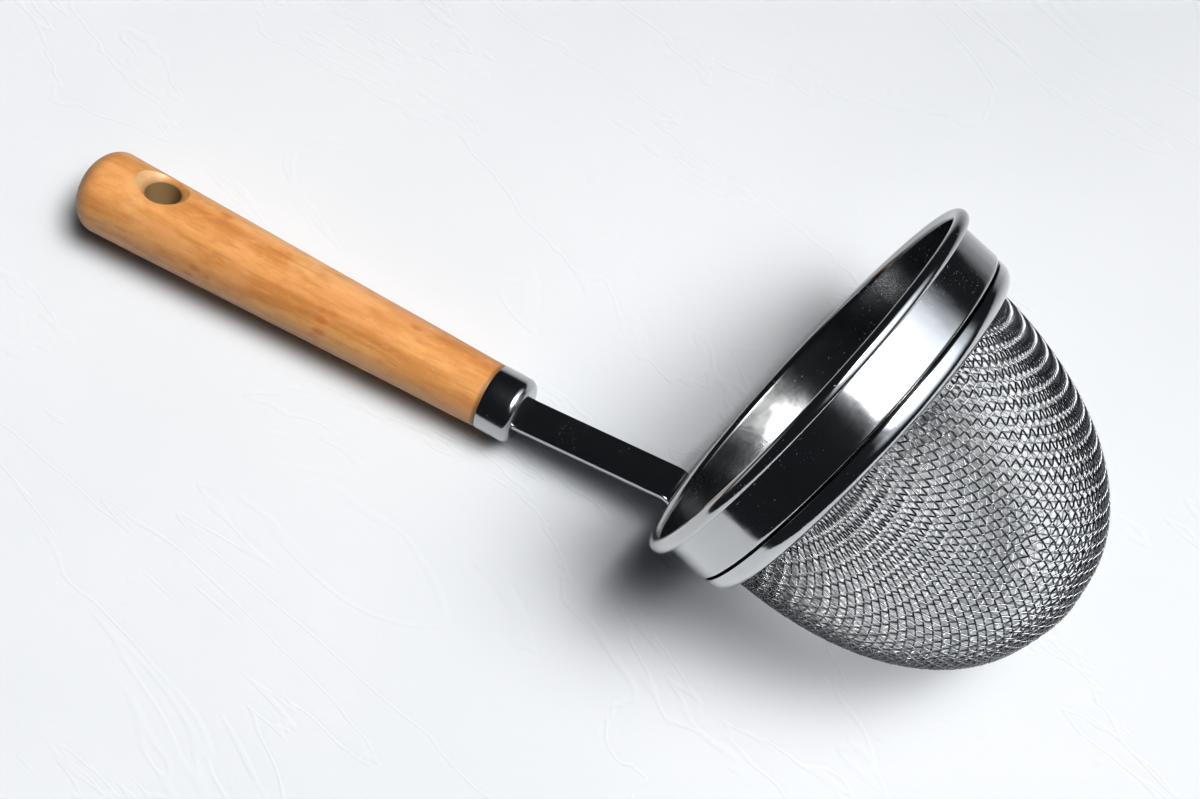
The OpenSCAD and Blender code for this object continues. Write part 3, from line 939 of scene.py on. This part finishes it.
def hash01(a_, b_, c_=0):
    v_ = math.sin(a_ * 12.9898 + b_ * 78.233 + c_ * 37.719) * 43758.5453
    return v_ - math.floor(v_)


# a small pinch in the cloth: centre in the strainer's frame, radius and depth
DENT = [((-20.2, 23.0, -48.1), 4.0, 1.0), ((-22.6, 20.7, -48.3), 4.8, 1.35), ((-24.6, 18.2, -48.4), 3.4, 0.7)]


def cloth_point(s, t):
    """Where the middle of the cloth is, and its outward normal, in the strainer's frame."""
    r, z = prof_at(s)
    r2, z2 = prof_at(min(s + 0.3, S_MAX))
    r1, z1 = prof_at(max(s - 0.3, 0.0))
    if s < 0.3:
        r1 = -r1
    dr, dz = r2 - r1, z2 - z1
    k = math.hypot(dr, dz)
    nr, nz = dz / k, -dr / k
    # the pressed cloth is a little uneven
    ease = max(0.0, min(1.0, (S_SIDE - s) / 14.0))
    th = t + CLOTH_ROT
    d = 0.16 * math.sin(3 * th + 0.05 * s) * math.sin(s * 0.09 + 1.0) + 0.10 * math.sin(5 * th + 2.0 + s * 0.13)
    d = (d - 0.22) * ease
    if DENT is not None:
        px, py, pz = r * math.cos(th), r * math.sin(th), z
        for (cx, cy, cz), rad, depth in DENT:
            q = math.sqrt((px - cx) ** 2 + (py - cy) ** 2 + (pz - cz) ** 2) / rad
            if q < 1:
                d -= depth * (1 - q * q) ** 2
    c, s_ = math.cos(th), math.sin(th)
    return np.array([(r + nr * d) * c, (r + nr * d) * s_, z + nz * d]), np.array([nr * c, nr * s_, nz])


def wire_points(fixed, along_i):
    """The run of one wire through its crossings, as centre points and cloth normals."""
    keys = []
    for k in range(-n_cells, n_cells + 1):
        q = crossing(k, fixed) if along_i else crossing(fixed, k)
        if q is not None:
            keys.append((k, q))
    runs, cur = [], []
    for k, q in keys:
        if cur and k != cur[-1][0] + 1:
            runs.append(cur)
            cur = []
        cur.append((k, q))
    if cur:
        runs.append(cur)
    out = []
    for r in runs:
        if len(r) < 3:
            continue
        base, nrm, sign = [], [], []
        for k, (s, t) in r:
            p, n_ = cloth_point(s, t)
            base.append(p)
            nrm.append(n_)
            sg = 1 if (k + fixed) % 2 == 0 else -1
            sign.append(sg if along_i else -sg)
        out.append((np.array(base), np.array(nrm), np.array(sign, float), r))
    return out


def catmull(P, u):
    i = int(min(max(math.floor(u), 0), len(P) - 2))
    w = u - i
    p1, p2 = P[i], P[i + 1]
    p0 = P[i - 1] if i > 0 else 2 * p1 - p2
    p3 = P[i + 2] if i + 2 < len(P) else 2 * p2 - p1
    return 0.5 * (2 * p1 + (p2 - p0) * w + (2 * p0 - 5 * p1 + 4 * p2 - p3) * w * w + (3 * p1 - p0 - 3 * p2 + p3) * w ** 3)


def weave(along_i):
    SIDES, SUB = 5, 4
    V, F = [], []
    ring_a = [2 * math.pi * (k + 0.5) / SIDES for k in range(SIDES)]
    for fixed in range(-n_cells, n_cells + 1):
        for base, nrm, sign, r in wire_points(fixed, along_i):
            n = len(base)
            us = np.linspace(0, n - 1, (n - 1) * SUB + 1)
            pts, ns = [], []
            for u in us:
                i = int(min(math.floor(u), n - 2))
                w = u - i
                c = catmull(base, u)
                nn = nrm[i] * (1 - w) + nrm[i + 1] * w
                nn = nn / np.linalg.norm(nn)
                lift = sign[i] * math.cos(math.pi * w)
                # a crimped wire: flatter on the tops than a plain wave
                lift = LIFT * math.copysign(abs(lift) ** 0.85, lift)
                pts.append(c + nn * lift)
                ns.append(nn)
            pts, ns = np.array(pts), np.array(ns)
            tg = np.gradient(pts, axis=0)
            tg /= np.linalg.norm(tg, axis=1)[:, None]
            sidev = np.cross(tg, ns)
            sidev /= np.linalg.norm(sidev, axis=1)[:, None]
            upv = np.cross(sidev, tg)
            b0 = len(V)
            for q in range(len(pts)):
                for an in ring_a:
                    V.append(pts[q] + WIRE_R * (math.cos(an) * sidev[q] + math.sin(an) * upv[q]))
            for q in range(len(pts) - 1):
                for k in range(SIDES):
                    k2 = (k + 1) % SIDES
                    F.append((b0 + q * SIDES + k, b0 + q * SIDES + k2, b0 + (q + 1) * SIDES + k2, b0 + (q + 1) * SIDES + k))
            F.append(tuple(b0 + k for k in range(SIDES)))
            F.append(tuple(b0 + (len(pts) - 1) * SIDES + k for k in range(SIDES)))
    return np.array(V), F


for nm, flag in (("cloth_warp", True), ("cloth_weft", False)):
    v, f = weave(flag)
    print(nm, "faces", len(f), "tris", sum(len(q) - 2 for q in f))
    cloth = finish_mesh(nm, v, f, strainer_m, wire_mat, ["mesh_basket"], smooth_angle=None)
    # one set casts the shadow: the picture's far wall and its shadow are that light
    cloth.visible_shadow = flag

# ------------------------------------------------------------------ floor, light

centre = np.array([(a_ + b_) / 2 for a_, b_ in zip(*cad_box)])


def flat_sheet(name, lo, hi, z, mat, n=1):
    """A level sheet whose sides follow the picture, from lo to hi in metres to the picture's right and top."""
    me = bpy.data.meshes.new(name)
    mid = np.array([centre[0], centre[1], 0.0])
    vv = [mid + flat_right * (lo[0] + (hi[0] - lo[0]) * i / n) + flat_up * (lo[1] + (hi[1] - lo[1]) * j / n) + np.array([0, 0, z]) for j in range(n + 1) for i in range(n + 1)]
    ff = [(j * (n + 1) + i, j * (n + 1) + i + 1, (j + 1) * (n + 1) + i + 1, (j + 1) * (n + 1) + i) for j in range(n) for i in range(n)]
    me.from_pydata([list(p) for p in vv], [], ff)
    me.materials.append(mat)
    o = bpy.data.objects.new(name, me)
    scene.collection.objects.link(o)
    return o


plaster_mat = plaster("plaster")
floor = flat_sheet("floor", (-4, -4), (4, 4), 0.0, plaster_mat)
floor.visible_glossy = False
# what the steel mirrors is a board of the size that such pictures are taken on, not an endless floor
board = flat_sheet("board", (-0.55, -0.42), (0.40, 0.14), 0.0002, plaster("plaster_board", "fade"), 60)
fade = board.data.attributes.new("fade", "FLOAT", "POINT")
for i_, v_ in enumerate(board.data.vertices):
    d_ = v_.co.x - centre[0], v_.co.y - centre[1]
    far = (0.14 - (d_[0] * flat_up[0] + d_[1] * flat_up[1])) / 0.13
    side = (0.40 - (d_[0] * flat_right[0] + d_[1] * flat_right[1])) / 0.08
    near_ = ((d_[0] * flat_up[0] + d_[1] * flat_up[1]) + 0.42) / 0.10
    fade.data[i_].value = max(0.0, min(1.0, far, side, near_))
board.visible_camera = False
board.visible_diffuse = False
board.visible_shadow = False
board.visible_transmission = False


def softbox(name, az, el, dist_, w, h, radiance, edge=0.18, colour=(1, 1, 1), foot=1.6):
    """A soft-edged panel of light that faces the object, by the brightness of its middle."""
    data = bpy.data.lights.new(name, "AREA")
    data.shape = "RECTANGLE"
    data.size, data.size_y = w, h
    data.energy = radiance * w * h * math.pi
    data.color = colour
    data.use_nodes = True
    n = Net(data.node_tree)
    em = data.node_tree.nodes["Emission"]
    g = n.new("ShaderNodeNewGeometry")
    s = n.new("ShaderNodeSeparateXYZ")
    n.link(g.outputs["Parametric"], s.inputs[0])
    # round falloff from the middle to nothing at the rim, with a long foot
    u = n.math("SUBTRACT", s.outputs[0], 0.5)
    v_ = n.math("SUBTRACT", s.outputs[1], 0.5)
    r = n.math("SQRT", n.math("ADD", n.math("MULTIPLY", u, u), n.math("MULTIPLY", v_, v_)))
    fac = n.smooth(r, 0.5, 0.5 - edge)
    n.link(n.math("POWER", fac, foot), em.inputs["Strength"])
    o = bpy.data.objects.new(name, data)
    d = direction(az, el)
    pos = Vector(centre + d * dist_)
    o.matrix_world = Matrix.Translation(pos) @ Vector(d).to_track_quat("Z", "Y").to_matrix().to_4x4()
    scene.collection.objects.link(o)
    return o


softbox("window", 0, 63, 6.0, 5.6, 5.6, 34.0, edge=0.48, colour=(1.0, 0.985, 0.965))
wide = softbox("window_wide", 2, 44, 6.4, 15.0, 13.0, 2.1, edge=0.5, colour=(0.96, 1.0, 1.05), foot=1.0)
wide.visible_diffuse = False
fill = softbox("fill_left", 170, 11, 5.0, 5.6, 2.8, 0.75, edge=0.42, colour=(0.94, 1.0, 1.06))

world = bpy.data.worlds.new("world")
scene.world = world
world.use_nodes = True
wn = Net(world.node_tree)
bg = world.node_tree.nodes["Background"]
lp = wn.new("ShaderNodeLightPath")
wcol = wn.mix(lp.outputs["Is Camera Ray"], (0.028, 0.031, 0.036), (0.90, 0.92, 0.95))
wn.link(wcol, bg.inputs["Color"])
bg.inputs["Strength"].default_value = 1.0

scene.view_settings.view_transform = "Standard"
scene.view_settings.look = "None"
scene.view_settings.exposure = 0.0
# a little more contrast than the plain transform, as the picture was graded
scene.view_settings.gamma = 0.8
